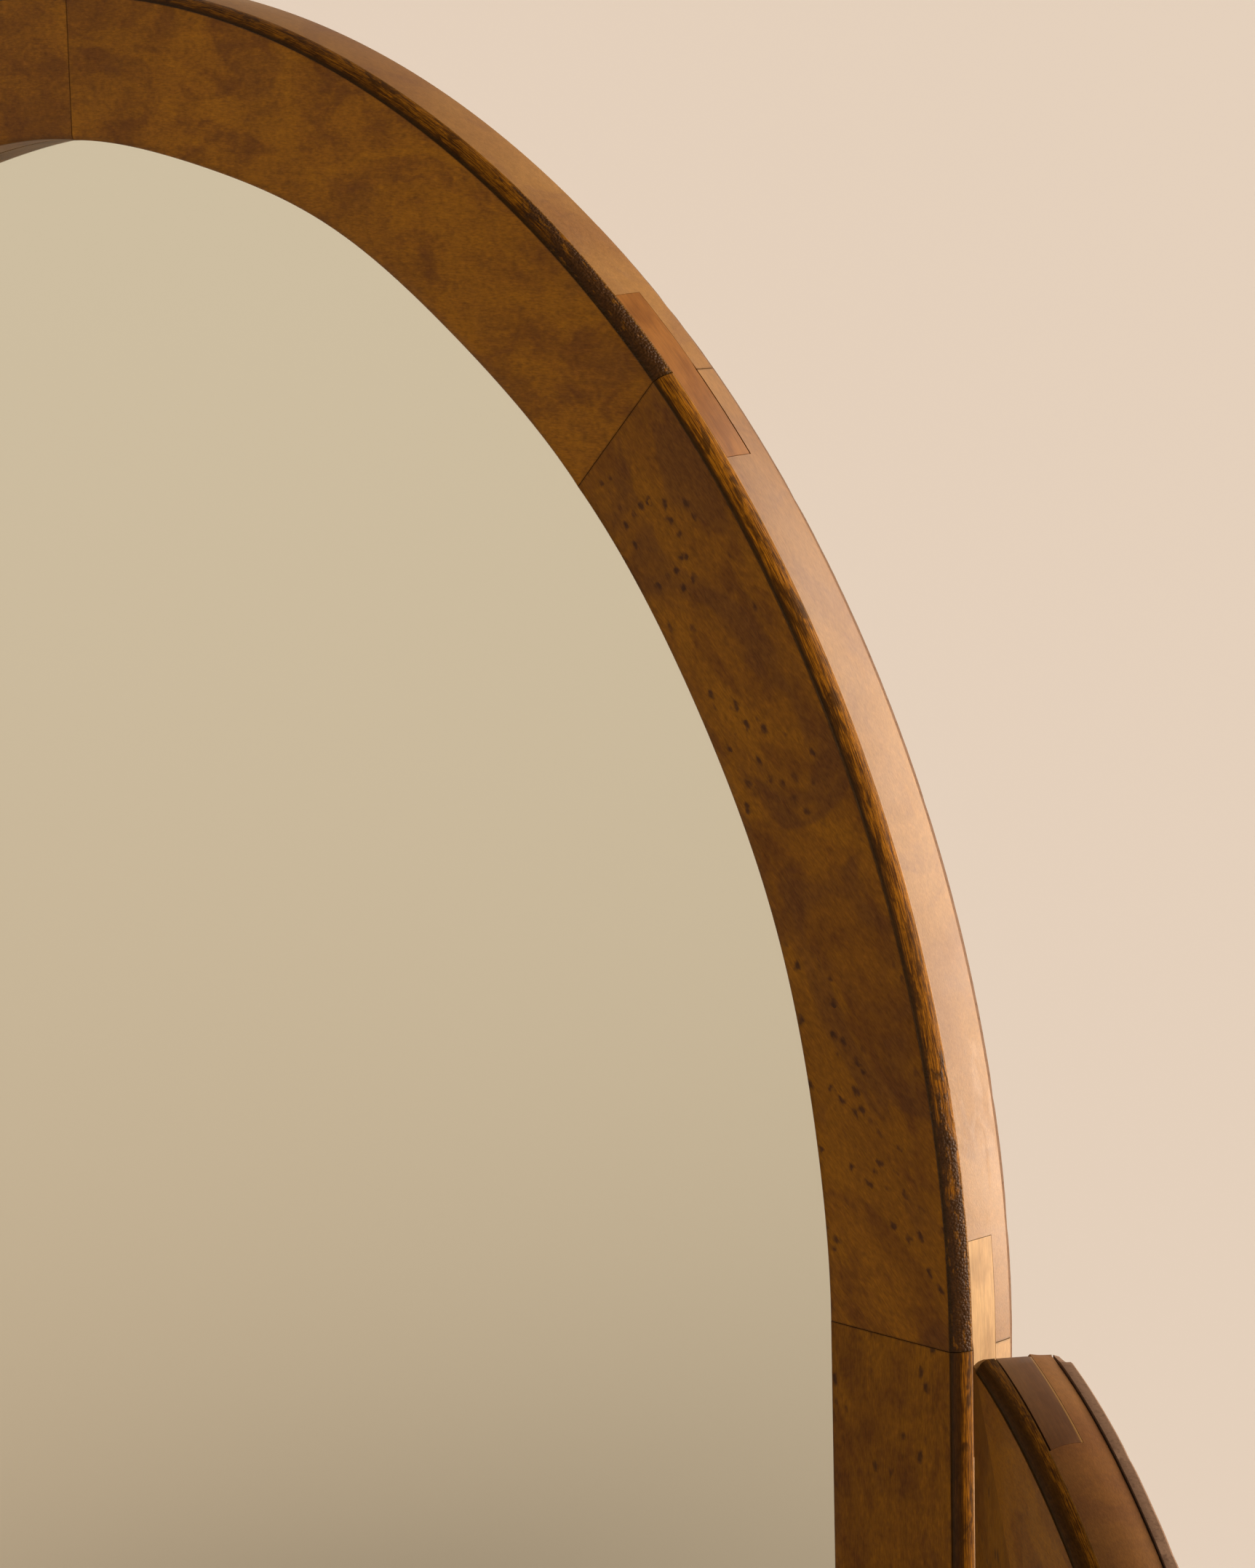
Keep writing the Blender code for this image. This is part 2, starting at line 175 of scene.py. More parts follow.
def face_stain(tree, grain, mottle, tone):
    """Clouds of stain on the face, from a hand's width down to the pith flecks."""
    cloud = noise(tree, grain, (9, 15, 15), 3, 0.58, 0.8)
    colour = blend_colour(tree, ramp(tree, cloud, 0.36, 0.66), (0.178, 0.067, 0.0044),
                          (0.268, 0.106, 0.0048))
    colour = blend_colour(tree, times(tree, ramp(tree, mottle, 0.42, 0.66), 0.85), colour,
                          (0.150, 0.054, 0.0060))
    clean_board = ramp(tree, tone, 0.92, 1.0)
    cluster = ramp(tree, noise(tree, grain, (16, 34, 34), 3, 0.6, 1.4), 0.47, 0.57)
    fleck = face_flecks(tree, grain, clean_board, cluster)
    dark_cloud = ramp(tree, noise(tree, grain, (22, 31, 31), 3, 0.62, 1.2), 0.50, 0.66)
    dark_cloud = times(tree, dark_cloud, scaled(tree, clean_board, -0.55, 1.0))
    for share, stain in ((times(tree, cluster, 0.34), (0.350, 0.145, 0.0035)),
                         (times(tree, dark_cloud, 0.52), (0.098, 0.037, 0.0115)),
                         (times(tree, fleck, 0.85), (0.048, 0.020, 0.0090))):
        colour = blend_colour(tree, share, colour, stain)
    return toned(tree, colour, tone)


def side_stain(tree, grain, tone, tint):
    """The side is lighter and smoother than the face; a tone above 1 turns it pale, painted sheen,
    and the tint is painted shade.
    """
    cloud = noise(tree, grain, (16, 26, 26), 2, 0.5, 0.3)
    colour = blend_colour(tree, ramp(tree, cloud, 0.30, 0.68), (0.280, 0.124, 0.038),
                          (0.380, 0.186, 0.050))
    shadow = ramp(tree, noise(tree, grain, (38, 60, 60), 4, 0.6, 1.2), 0.50, 0.68)
    colour = blend_colour(tree, times(tree, shadow, 0.30), colour, (0.200, 0.086, 0.044))
    colour = toned(tree, colour, tone)
    # painted sheen: the side turned pale where its tone is above 1, on the centre's stiles low
    # down
    painted_sheen = times(tree, ramp(tree, tone, 1.0, 1.4, "LINEAR"), 0.9)
    colour = blend_colour(tree, painted_sheen, colour, (0.470, 0.290, 0.120))
    return blend_colour(tree, 1.0, colour, tint, "MULTIPLY")


def bead_stain(tree, along_skin, streak, blotch, edge, burnt, shade_width, tone):
    """Golden streaks along the rounded front edge; black and crackled across the fibres."""
    gold = blend_colour(tree, ramp(tree, streak, 0.36, 0.66), (0.130, 0.042, 0.0022),
                        (0.570, 0.215, 0.0070))
    gold = blend_colour(tree, times(tree, ramp(tree, blotch, 0.52, 0.62), 0.80), gold,
                        (0.090, 0.033, 0.003))
    gold = toned(tree, gold, tone)
    # painted shade: the rounded edge darkened in a strip next to the face, its width kept with the
    # mesh
    past_shade = less(tree, edge, scaled(tree, blotch, 0.0012, shade_width))
    shaded_strip = less(tree, 1.0, ramp(tree, past_shade, -0.0001, 0.0009))
    gold = blend_colour(tree, times(tree, shaded_strip, 0.88), gold, (0.050, 0.019, 0.0025))
    amber = ramp(tree, noise(tree, along_skin, (260, 700, 3), 2, 0.5), 0.60, 0.66)
    burnt_colour = blend_colour(tree, times(tree, amber, 0.6), (0.050, 0.021, 0.006),
                                (0.240, 0.095, 0.006))
    gold = blend_colour(tree, times(tree, burnt, 0.93), gold, burnt_colour)
    # painted highlight: a light golden line where the rounded edge meets the side
    lit_line = times(tree, ramp(tree, edge, side_from - 0.0005, side_from - 0.0002), 0.55)
    return blend_colour(tree, lit_line, gold, toned(tree, (0.56, 0.24, 0.02), tone))


def stained_birch(name, specular, coat, roughness, side_shade=(1.0, 1.0, 1.0)):
    """Birch with a brown stain that clouds, sinks into flecks and burns the end fibres."""
    material, tree, shader = new_material(name)
    grain = kept_vector(tree, "grain")
    run, edge, across_grain = split(tree, kept_vector(tree, "skin"))
    inner, joint, shade_width = split(tree, kept_vector(tree, "rim"))
    face_tone, bead_tone, side_tone = split(tree, kept_vector(tree, "tones"))

    mottle = noise(tree, grain, (62, 95, 95), 4, 0.64, 0.5)
    speck = noise(tree, grain, (420, 760, 760), 2, 0.6)
    fibre = noise(tree, grain, (520, 2500, 2500), 2, 0.6)
    lines = noise(tree, grain, (34, 760, 760), 2, 0.5)
    skin_place = add_node(tree, "ShaderNodeCombineXYZ", {0: run, 1: edge, 2: across_grain})
    along_skin = skin_place.outputs[0]
    streak = noise(tree, along_skin, (150, 3600, 4), 3, 0.65)
    blotch = noise(tree, along_skin, (90, 300, 3), 3, 0.62, 0.6)
    burnt = scaled(tree, less(tree, blotch, 0.5), 0.40, across_grain)
    burnt = ramp(tree, burnt, 0.54, 0.62)
    on_side = ramp(tree, edge, side_from, side_from + 0.0002)
    on_bead = times(tree, ramp(tree, edge, 0.0, 0.0001, "LINEAR"), less(tree, 1.0, on_side))

    colour = blend_colour(tree, on_side, face_stain(tree, grain, mottle, face_tone),
                          side_stain(tree, grain, side_tone, side_shade))
    gold = bead_stain(tree, along_skin, streak, blotch, edge, burnt, shade_width, bead_tone)
    colour = blend_colour(tree, on_bead, colour, gold)

    # stain left in the open joints; darker in the quirk and along the inner arris, partly stain
    # and partly painted shade
    from_quirk = sums(tree, "ABSOLUTE", less(tree, edge, 0.0004))
    quirk = less(tree, 1.0, ramp(tree, from_quirk, 0.0002, 0.0008))
    inner_arris = less(tree, 1.0, ramp(tree, inner, 0.0004, 0.0022))
    seam = less(tree, 1.0, ramp(tree, joint, 0.0001, 0.0005))
    stain_and_shade = sums(tree, "MAXIMUM", times(tree, quirk, 0.72), times(tree, inner_arris, 0.30))
    stain_and_shade = sums(tree, "MAXIMUM", stain_and_shade, times(tree, seam, 0.35))
    colour = blend_colour(tree, stain_and_shade, colour, (0.034, 0.017, 0.003))

    # the fibres' own light and dark, half as strong on the planed side
    shade = scaled(tree, fibre, 1.0, 0.50)
    shade = times(tree, shade, scaled(tree, lines, 0.36, 0.82))
    shade = times(tree, shade, scaled(tree, speck, 0.80, 0.60))
    calm = scaled(tree, on_side, -0.5, 1.0)
    colour = toned(tree, colour, scaled(tree, less(tree, shade, 1.0), calm, 1.0))

    beads = add_node(tree, "ShaderNodeTexVoronoi",
                     {"Vector": stretched(tree, grain, (1500, 1500, 1500)), "Scale": 1.0})
    crackle = less(tree, 1.0, beads.outputs["Distance"])
    crackle = times(tree, crackle, times(tree, burnt, on_bead))
    height = times(tree, fibre, 0.000035)
    height = scaled(tree, times(tree, streak, on_bead), 0.00008, height)
    height = scaled(tree, crackle, 0.00024, height)
    height = scaled(tree, noise(tree, grain, (40, 70, 70), 2), 0.00018, height)
    rough = less(tree, scaled(tree, mottle, 0.16, roughness - 0.08), times(tree, burnt, 0.10))
    plug(tree, shader, {"Base Color": colour, "Roughness": rough, "Normal": relief(tree, height),
                        "Specular IOR Level": specular, "Coat Weight": coat,
                        "Coat Roughness": 0.28})
    return material


face_birch = stained_birch("face_birch", 0.07, 0.0, 0.42)
bead_birch = stained_birch("bead_birch", 0.11, 0.0, 0.42)
wing_bead_birch = stained_birch("wing_bead_birch", 0.04, 0.0, 0.50)
side_birch = stained_birch("side_birch", 0.5, 0.12, 0.49)
# painted shade: the wings' sides darkened and greyed by this tint
shaded_wing_side_birch = stained_birch("shaded_wing_side_birch", 0.20, 0.02, 0.50, (0.62, 0.53, 0.42))

arch_low, arch_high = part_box("centre_arch_right_low")
stile_low, stile_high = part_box("centre_stile_right")
rail_low, rail_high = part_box("centre_bottom_rail")
face_y = arch_low.y
stock = arch_high.y - arch_low.y
outer_radius = arch_high.x
member = stile_high.x - stile_low.x
opening = outer_radius - member
spring_z = (arch_low.z + stile_high.z) / 2
foot_z = rail_low.z

quirk_in = 0.0031
bead_deep = 0.0049
arris = 0.0012
centre_crown, wing_crown, wing_swell = 0.00025, 0.0012, 0.0006
back_round = 0.0005
lip = 0.0128
rebate = 0.0080
joint_gap = 0.00022
mitre_gap = joint_gap * 0.7

key_front, key_back = 0.0051, 0.0131
key_deep = 0.0240
key_half = 0.0265
corner_leg = 0.0540
knife = 0.00004


def arc_points(centre, radii, start, end, count):
    """Points along part of an oval, both ends included; the angles are in degrees."""
    return [(centre[0] + radii[0] * math.cos(math.radians(start + (end - start) * i / count)),
             centre[1] + radii[1] * math.sin(math.radians(start + (end - start) * i / count)))
            for i in range(count + 1)]


def side_across(depth, crown):
    """The crowned side, from the rounded front edge to the round at the back."""
    swell = wing_swell if crown > centre_crown else 0.0
    middle = (bead_deep + stock - back_round) / 2
    half = (stock - back_round - bead_deep) / 2
    return member + swell - crown * ((depth - middle) / half) ** 2


def rounded_front(face_end, side_end):
    """The quirk, then two long curves that meet at a soft ridge."""
    start, ridge = (0.00034, 0.00040), (0.0019, 0.0019)
    front = [(face_end + 0.00010, 0.00012), (face_end + 0.00018, 0.00034),
             (face_end + start[0], start[1])]
    for (u0, d0), (u1, d1), swell in ((start, ridge, 0.00012), (ridge, side_end, 0.00022)):
        away = np.array([d1 - d0, u0 - u1]) / math.hypot(u1 - u0, d1 - d0)
        for i in range(1, 8):
            share = i / 7
            lift = swell * math.sin(math.pi * share)
            front.append((face_end + u0 + (u1 - u0) * share + away[0] * lift,
                          d0 + (d1 - d0) * share + away[1] * lift))
    return front


def square_front(face_end):
    """The wings' hinge stiles have no rounded edge, only a rubbed corner."""
    rub = 0.0004
    plain = member - rub - face_end
    front = [(face_end + plain * i / 4, 0.0) for i in range(1, 5)]
    front += arc_points((member - rub, rub), (rub, rub), -60, 0, 3)
    return front + [(member, bead_deep * i / 4) for i in range(1, 5)]


def member_section(cuts, crown, square=False):
    """The section's skin: (across from the inner edge, depth behind the face) in order."""
    face_end = member - quirk_in
    skin = [(0.0, lip), (0.0, lip * 0.6)]
    skin += arc_points((arris, arris), (arris, arris), 180, 270, 5)
    skin += [(arris + (face_end - arris) * i / 14, 0.0) for i in range(1, 15)]
    if square:
        skin += square_front(face_end)
        crown = 0.0
    else:
        skin += rounded_front(face_end, (side_across(bead_deep, crown) - face_end, bead_deep))
    depths = [bead_deep + (stock - back_round - bead_deep) * i / 8 for i in range(1, 9)]
    for cut in cuts:
        depths += [cut - knife, cut + knife]
    skin += [(side_across(depth, crown), depth) for depth in sorted(depths)]
    end = side_across(stock - back_round, crown) - back_round
    skin += arc_points((end, stock - back_round), (back_round, back_round), 12, 90, 5)
    skin += [(member * 0.6, stock), (rebate, stock), (rebate, lip)]
    return np.array(skin)


def skin_zones(skin, square):
    """How far each point lies round the skin from the quirk, negative on the face, and
    the finish it takes: 0 for the face and back, 1 for the rounded edge, 2 for the side."""
    steps = np.hypot(*np.diff(skin, axis=0).T)
    edge = np.concatenate([[0.0], np.cumsum(steps)])
    edge = edge - edge[np.argmin(np.hypot(skin[:, 0] - (member - quirk_in), skin[:, 1]))]
    outer = skin[:, 0] > rebate
    side_start = edge[np.argmin(np.abs(skin[:, 1] - bead_deep) - skin[:, 0])]
    if square:
        edge = np.where((skin[:, 1] < 1e-6) | ~outer, -0.01, edge + 0.01)
        side_start = 0.0
    zone = np.where(edge > side_start - 1e-6, 2, np.where(edge > -1e-6, 1, 0)) * outer
    return edge, np.minimum(zone, np.roll(zone, -1))


def mesh_object(name, points, faces, material):
    mesh = bpy.data.meshes.new(name)
    mesh.from_pydata([tuple(p) for p in points], [], faces)
    builder = bmesh.new()
    builder.from_mesh(mesh)
    bmesh.ops.recalc_face_normals(builder, faces=builder.faces)
    for face in builder.faces:
        face.smooth = True
    for line in builder.edges:
        if len(line.link_faces) == 2 and line.calc_face_angle(0.0) > math.radians(32):
            line.smooth = False
    builder.to_mesh(mesh)
    builder.free()
    mesh.materials.append(material)
    made = bpy.data.objects.new(name, mesh)
    bpy.context.collection.objects.link(made)
    return made


def store_vectors(mesh, name, *parts):
    """Keeps three numbers with every point; each part is an array or one value."""
    values = np.stack(np.broadcast_arrays(*parts), -1)
    attribute = mesh.attributes.new(name, "FLOAT_VECTOR", "POINT")
    attribute.data.foreach_set("vector", values.astype(np.float32).ravel())


def tube_faces(rings, count):
    """Quads between rings of points, and one face over each end."""
    faces = []
    for ring in range(rings - 1):
        for i in range(count):
            j = (i + 1) % count
            a = ring * count
            faces.append((a + i, a + j, a + count + j, a + count + i))
    faces.append(tuple(range(count)))
    faces.append(tuple(range((rings - 1) * count, rings * count)))
    return faces


class Member:
    """One frame member: where its points lie, how long its outer edge is, and its grain."""

    def __init__(self, name, place, path, length, grain_turn, wander):
        self.name = name
        self.place = place
        self.path = path
        self.length = length
        self.grain_turn = grain_turn
        self.wander = wander


members = {}


def board_tones(name):
    """How dark each board is on its face, its rounded edge and its side: the faces by their stain;
    the centre stiles' sides are lighter, painted sheen, and the wings' rounded edges darker,
    painted shade.
    """
    # painted shade: the wings' rounded edges made darker
    wing = 1.0 if name.startswith("centre") else 0.62
    if "high" in name:
        return 1.02, 0.46 * wing, 0.86
    if "arch" in name:
        return 0.88, 0.66 * wing, 0.82
    return 0.74, 0.62 * wing, 1.30 if wing == 1.0 else 0.8


def member_marks(piece, start_key, end_key):
    """Marks (0 to 1) every 3 mm or so, and a pair where each key's slot stops."""
    marks = set(np.linspace(0, 1, int(piece.length / 0.003) + 1))
    for stop in (start_key / piece.length, 1 - end_key / piece.length):
        marks |= {stop - knife / piece.length, stop + knife / piece.length}
    return np.array(sorted(marks))


def store_grain(mesh, piece, body, u, z, deep, at, skin, edge):
    """Keeps the run of the grain, the way round the skin and the tones with the mesh."""
    turn = math.radians(piece.grain_turn)
    along = u * math.cos(turn) + z * math.sin(turn)
    aside = -u * math.sin(turn) + z * math.cos(turn)
    shift = 1.7 * (len(members) + 1)
    store_vectors(mesh, "grain", along + shift, aside + 0.6 * shift, deep)
    on_back_edge = -8
    tangent = np.arctan2(np.gradient(z[:, on_back_edge]), np.gradient(u[:, on_back_edge]))
    crossing = np.abs(np.sin(tangent - turn))[:, None]
    store_vectors(mesh, "skin", at + shift, edge, crossing)
    from_inner = skin[:, 0] + np.where(deep > 0.001, 1.0, 0.0)
    # the width of the painted shaded strip on the rounded edge: widest on the wings, narrowest on
    # the centre's arch
    shade_width = 0.0028 if body != "centre" else 0.0004 if "arch" in piece.name else 0.0020
    store_vectors(mesh, "rim", from_inner, np.minimum(at, piece.length - at), shade_width)
    face_tone, bead_tone, side_tone = board_tones(piece.name)
    # painted light and shade: the wings' sides lighter above the spring and darker below it
    wing_shading = np.ones(z.shape)
    if body != "centre":
        wing_shading = 1.24 - 0.90 * np.clip((spring_z - z) / 0.048, 0, 1)
    store_vectors(mesh, "tones", face_tone, bead_tone, side_tone * wing_shading)


def build_member(piece, body, start_key, end_key):
    """Mesh one member, with its slots for the keys."""
    crown, bead, side_finish = ((centre_crown, bead_birch, side_birch) if body == "centre"
                                else (wing_crown, wing_bead_birch, shaded_wing_side_birch))
    square = piece.name.endswith("hinge_stile")
    skin = member_section([key_front, key_back], crown, square)
    marks = member_marks(piece, start_key, end_key)
    t, across = np.meshgrid(marks, skin[:, 0], indexing="ij")
    deep = np.broadcast_to(skin[:, 1], across.shape)
    at = t * piece.length
    in_slot = (deep > key_front) & (deep < key_back) & (across > member - 0.002)
    keyed = (at < start_key) | (at > piece.length - end_key)
    carved = np.where(in_slot & keyed, key_deep, 0.0)
    lean = (1 - np.clip(across / member, 0, 1)) ** 2
    u, z = piece.path(t, across - carved + piece.wander(t) * lean)
    plane_wave = 0.00012 * np.sin(at / 0.031 + 2.1 * len(members))
    points = piece.place(u, deep + np.where(deep < 1e-6, plane_wave, 0.0), z)
    made = mesh_object(piece.name, points.reshape(-1, 3), tube_faces(len(marks), len(skin)),
                       face_birch)
    made.data.materials.append(bead)
    made.data.materials.append(side_finish)
    edge, zone = skin_zones(skin, square)
    finish = np.zeros(len(made.data.polygons), int)
    finish[:(len(marks) - 1) * len(skin)] = np.tile(zone, len(marks) - 1)
    made.data.polygons.foreach_set("material_index", finish)
    store_grain(made.data, piece, body, u, z, deep, at, skin, edge)
    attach(made, body)
    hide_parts(piece.name)
    members[piece.name] = piece


def centre_place(u, depth, z):
    return np.stack([u, face_y + depth, z], -1)


def arc_path(centre_u, centre_z, first, last):
    """A sawn arc; first and last give the angle of each end at a radius."""
    def path(t, rho):
        radius = opening + rho
        angle = first(radius) + (last(radius) - first(radius)) * t
        return centre_u + radius * np.cos(angle), centre_z + radius * np.sin(angle)
    return path


def straight_path(start, end):
    """A straight member; start and end give (u, z) at a distance from the inner edge."""
    def path(t, rho):
        near, far = start(rho), end(rho)
        return near[0] + (far[0] - near[0]) * t, near[1] + (far[1] - near[1]) * t
    return path


def radial(degrees, toward):
    return lambda radius: math.radians(degrees) + toward * joint_gap / 2 / radius


def saw_wander(size, turns, start):
    """How far the bandsaw strayed from the true arc along the inner edge."""
    return lambda t: size * np.sin(math.tau * (turns * t + start)) * np.sin(math.pi * t) ** 0.5


def no_wander(t):
    return 0.0 * t


def foot_mitre(rho):
    """The height of the mitre at a panel's foot, at a distance from the inner edge."""
    return foot_z + member - rho


segment_length = math.radians(45) * outer_radius
arch_grain = {"centre_arch_right_low": -45, "centre_arch_right_high": 0,
              "centre_arch_left_high": 0, "centre_arch_left_low": 45}
for number, (segment, turn) in enumerate(arch_grain.items()):
    sawn = Member(segment, centre_place,
                  arc_path(0.0, spring_z, radial(45 * number, 1), radial(45 * number + 45, -1)),
                  segment_length, turn,
                  saw_wander(0.0007 if number in (1, 2) else 0.0004, 1.8, 0.45 - 0.11 * number))
    build_member(sawn, "centre", key_half, key_half)

for side, word in ((1, "right"), (-1, "left")):
    def stile_foot(rho, side=side):
        return side * (opening + rho), foot_mitre(rho) + mitre_gap

    def stile_head(rho, side=side):
        return side * (opening + rho), spring_z - joint_gap / 2 + 0 * rho

    stile = Member(f"centre_stile_{word}", centre_place, straight_path(stile_foot, stile_head),
                   spring_z - foot_z, 90, no_wander)
    build_member(stile, "centre", corner_leg, key_half)

rail = Member("centre_bottom_rail", centre_place,
              straight_path(lambda rho: (-(opening + rho) + mitre_gap, foot_mitre(rho)),
                            lambda rho: (opening + rho - mitre_gap, foot_mitre(rho))),
              2 * outer_radius, 0, no_wander)
build_member(rail, "centre", corner_leg, corner_leg)


# ------------------------------------------------------------
# The wings' frames.  Each is the centre's section again: a hinge stile, an upper
# segment mitred to it at the peak, a lower segment, a free stile and a rail.
# They are set out flat from the hinge pins and then folded forward.

pin_joint = frame["joints"][0]
pin_x, pin_y = abs(pin_joint["pos_m"][0]), pin_joint["pos_m"][1]
fold = math.radians(35.0)
panel_gap = 2 * (pin_x - outer_radius)
wing_face = face_y - pin_y
wing_edge = panel_gap / 2
wing_arc_u = -panel_gap / 2
solid_gap = 0.0003
wing_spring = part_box("right_wing_arch_low")[0].z - solid_gap / 2
wing_free = wing_arc_u + outer_radius
peak_z = wing_spring + math.sqrt(outer_radius ** 2 - (wing_edge - wing_arc_u) ** 2)
peak_round = 0.0021


def wing_place(side):
    """Sets a wing's points out in the room; the peak's sharp corner is rubbed round."""
    def place(u, depth, z):
        drop = np.clip(1 - depth / bead_deep, 0, 1) ** 2 * quirk_in
        rise_squared = (outer_radius - drop) ** 2 - (u - wing_arc_u) ** 2
        ceiling = wing_spring + np.sqrt(np.maximum(rise_squared, 0.0))
        at_peak = (u < wing_edge + 0.006) & (z > peak_z - 0.01)
        z = np.where(at_peak, np.minimum(z, ceiling + wing_swell), z)
        aside = wing_edge + peak_round - u
        above = z - peak_z + peak_round
        away = np.hypot(aside, above)
        worn = (aside > 0) & (above > 0) & (away > peak_round)
        keep = np.where(worn, peak_round / np.maximum(away, 1e-9), 1.0)
        u, z = u + aside * (1 - keep), z - above * (1 - keep)
        back = wing_face + depth
        x = pin_x + u * math.cos(fold) + back * math.sin(fold)
        y = pin_y - u * math.sin(fold) + back * math.cos(fold)
        return np.stack([side * x, y, z], -1)
    return place


throat_u = wing_edge + member
throat_z = wing_spring + math.sqrt(opening ** 2 - (throat_u - wing_arc_u) ** 2)


def peak_angle(radius):
    """The angle, from the arc's centre, of the mitre between the peak and the throat."""
    away = np.array([throat_u - wing_arc_u, throat_z - wing_spring + mitre_gap])
    run = np.array([wing_edge - throat_u, peak_z - throat_z])
    half = away @ run
    reach = (np.sqrt(half ** 2 - run @ run * (away @ away - radius ** 2)) - half) / (run @ run)
    return np.arctan2(away[1] + run[1] * reach, away[0] + run[0] * reach)


def wing_stile_head(rho):
    share = rho / member
    return throat_u - rho, throat_z + (peak_z - throat_z) * share - mitre_gap


def wing_members(word, place):
    """The five members of one wing, each with the keys at its two ends."""
    top_turn = peak_angle(outer_radius) - math.radians(45)
    parts = [
        ("hinge_stile", straight_path(
            lambda rho: (throat_u - rho, foot_mitre(rho) + mitre_gap), wing_stile_head),
         peak_z - foot_z, 90, corner_leg, corner_leg),
        ("arch_high", arc_path(wing_arc_u, wing_spring, radial(45, 1), peak_angle),
         top_turn * outer_radius, 0, key_half, corner_leg),
        ("arch_low", arc_path(wing_arc_u, wing_spring, radial(0, 1), radial(45, -1)),
         segment_length, -45, key_half, key_half),
        ("free_stile", straight_path(
            lambda rho: (wing_free - member + rho, foot_mitre(rho) + mitre_gap),
            lambda rho: (wing_free - member + rho, wing_spring - joint_gap / 2 + 0 * rho)),
         wing_spring - foot_z, 90, corner_leg, key_half),
        ("bottom_rail", straight_path(
            lambda rho: (throat_u - rho + mitre_gap, foot_mitre(rho)),
            lambda rho: (wing_free - member + rho - mitre_gap, foot_mitre(rho))),
         wing_free - wing_edge, 0, corner_leg, corner_leg),
    ]
    for part, path, length, turn, start_key, end_key in parts:
        stray = saw_wander(0.0005, 1.4, 0.2) if "arch" in part else no_wander
        piece = Member(f"{word}_{part}", place, path, length, turn, stray)
        build_member(piece, word, start_key, end_key)


for side, word in ((1, "right_wing"), (-1, "left_wing")):
    wing_members(word, wing_place(side))


# ------------------------------------------------------------
# The loose keys.  A slip of birch glued into a slot across every joint from the
# outer edge, then planed flush.  It shows as a rectangle on the side, with a dark
# line where the glue has shrunk; it took less stain than the frame.

def key_birch(name, rear_line):
    material, tree, shader = new_material(name)
    grain = kept_vector(tree, "grain")
    fibre = noise(tree, grain, (140, 1700, 1700), 3, 0.6)
    cloud = noise(tree, grain, (55, 110, 110), 4, 0.6, 0.6)
    colour = blend_colour(tree, ramp(tree, cloud, 0.3, 0.7), (0.74, 0.66, 0.55),
                          (1.10, 1.10, 1.15))
    colour = blend_colour(tree, 1.0, colour, kept_vector(tree, "stain"), "MULTIPLY")
    colour = toned(tree, colour, scaled(tree, fibre, 0.7, 0.65))
    deep = split(tree, grain)[2]
    on_line = times(tree, ramp(tree, deep, key_back - 0.0006, key_back - 0.0004), rear_line)
    colour = blend_colour(tree, on_line, colour, (0.42, 0.22, 0.05))
    plug(tree, shader, {"Base Color": colour, "Roughness": scaled(tree, cloud, 0.16, 0.32),
                        "Normal": relief(tree, times(tree, fibre, 0.00003)),
                        "Specular IOR Level": 0.35, "Coat Weight": 0.06,
                        "Coat Roughness": 0.28})
    return material


key_wood = key_birch("key_birch", 0.0)
wing_key_wood = key_birch("wing_key_birch", 0.6)
key_clear_front, key_clear_end, key_clear_deep = 0.00002, 0.00012, 0.0003
shrunk, tight = 0.00036, 0.00006
# the pale cream is painted sheen, and the brown is painted shade on the wings' keys
cream_sheen = (0.47, 0.280, 0.105)
amber_stain = (0.260, 0.098, 0.012)
shaded_brown = (0.145, 0.060, 0.017)


def key_colour(name):
    """Keys at the spring and foot are pale cream, painted sheen; those at the haunches and crown
    are amber stain; those on the wings brown, painted shade.
    """
    if "wing" in name:
        return shaded_brown
    return cream_sheen if "spring" in name or "foot" in name else amber_stain


def build_key(name, body, first, second, reach):
    """One key; first and second are (member, which end is at the joint), reach its length."""
    crown = centre_crown if body == "centre" else wing_crown
    wood = key_wood if body == "centre" else wing_key_wood
    line_in_front = body != "centre" or "spring" in name
    rings = []
    for (piece, end), order, slack in ((first, 1, shrunk), (second, -1, tight)):
        glue_line = slack if body == "centre" else shrunk
        near = key_front + (glue_line if line_in_front else key_clear_front)
        far = key_back - (tight if line_in_front else slack)
        section = [(side_across(depth, crown), depth) for depth in np.linspace(near, far, 7)]
        bottom = member - key_deep + key_clear_deep
        section = np.array(section + [(bottom, far), (bottom, near)])
        share = (reach - key_clear_end) / piece.length
        marks = np.linspace(share, 0.0, 12) if end == 0 else np.linspace(1 - share, 1.0, 12)
        marks = marks if order > 0 else marks[::-1][1:]
        t, rho = np.meshgrid(marks, section[:, 0], indexing="ij")
        u, z = piece.path(t, rho)
        rings.append(piece.place(u, np.broadcast_to(section[:, 1], t.shape), z))
    points = np.concatenate(rings)
    made = mesh_object(name, points.reshape(-1, 3), tube_faces(len(points), len(section)), wood)
    run = np.linspace(-reach, reach, len(points))[:, None]
    seed = 0.37 * len(name) + 0.11 * ord(name[-1]) + 0.53 * ord(name[0])
    store_vectors(made.data, "grain", run + seed, section[:, 0], section[:, 1])
    store_vectors(made.data, "stain",
                  *(np.full(points.shape[:2], part) for part in key_colour(name)))
    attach(made, body)
    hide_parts(name)


for word in ("right", "left"):
    low = members[f"centre_arch_{word}_low"]
    high = members[f"centre_arch_{word}_high"]
    upright = members[f"centre_stile_{word}"]
    low_foot, low_head = (0, 1) if word == "right" else (1, 0)
    build_key(f"centre_key_spring_{word}", "centre", (upright, 1), (low, low_foot), key_half)
    build_key(f"centre_key_haunch_{word}", "centre", (low, low_head), (high, low_foot), key_half)
    build_key(f"centre_key_foot_{word}", "centre", (upright, 0),
              (members["centre_bottom_rail"], 1 if word == "right" else 0), corner_leg)
build_key("centre_key_crown", "centre", (members["centre_arch_right_high"], 1),
          (members["centre_arch_left_high"], 0), key_half)

